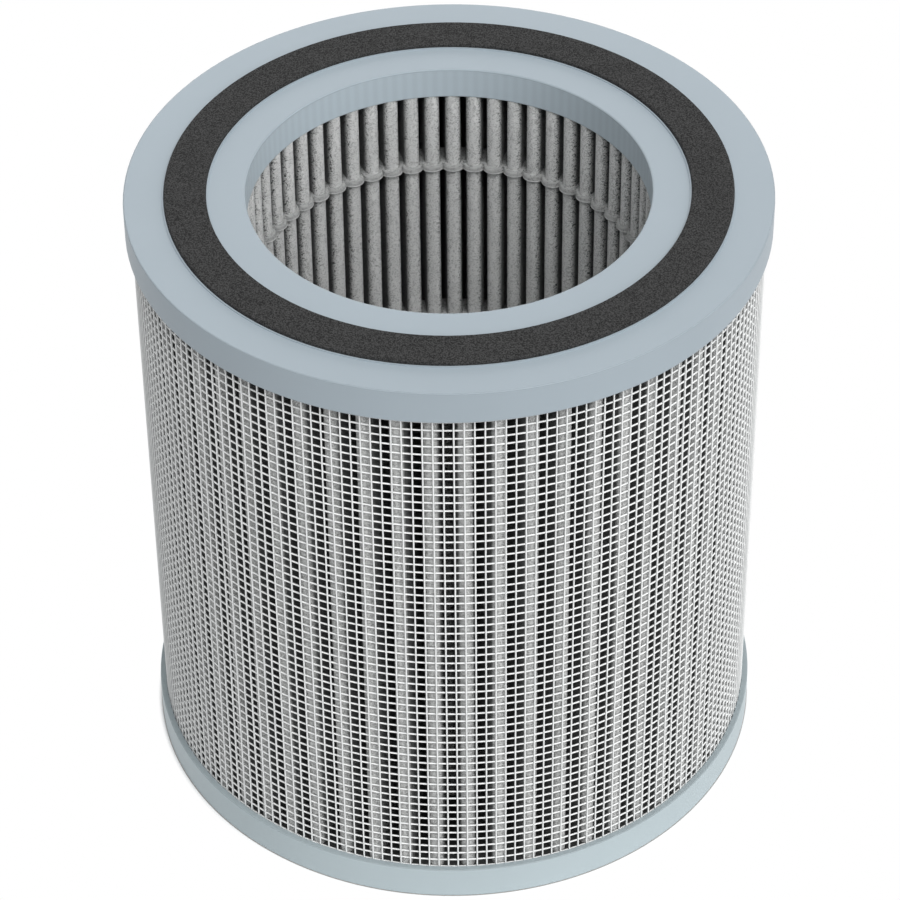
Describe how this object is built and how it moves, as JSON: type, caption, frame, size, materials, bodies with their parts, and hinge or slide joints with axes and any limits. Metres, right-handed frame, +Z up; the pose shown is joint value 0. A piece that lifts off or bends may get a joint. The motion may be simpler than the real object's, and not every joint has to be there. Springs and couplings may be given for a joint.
{
  "type": "hepa filter",
  "caption": "Cylindrical pleated air filter cartridge with two moulded end caps, an outlet in the top cap, a foam gasket, glue beads and a net sleeve.",
  "frame": {"origin": "centre of the base, on the cartridge's axis", "axes": "+Z runs up along the cartridge's axis, from the closed bottom cap to the outlet in the top cap; -Y is the side that faces the picture's camera"},
  "size_m": [0.16, 0.16, 0.1696],
  "materials": {
    "top_cap": "pale blue-grey moulded plastic, satin",
    "bottom_cap": "pale blue-grey moulded plastic, satin",
    "gasket": "fine closed-cell foam",
    "media": "grey non-woven felt with dark specks",
    "net": "white extruded net, satin",
    "potting": "off-white hot-melt adhesive",
    "bead": "pale grey hot-melt adhesive"
  },
  "bodies": {
    "root": {"top_cap": "top_cap", "bottom_cap": "bottom_cap", "gasket": "gasket", "pleated_media": "media", "outer_net": "net", "top_potting": "potting", "bottom_potting": "potting", "upper_bead": "bead", "middle_bead": "bead", "lower_bead": "bead"}
  },
  "joints": []
}
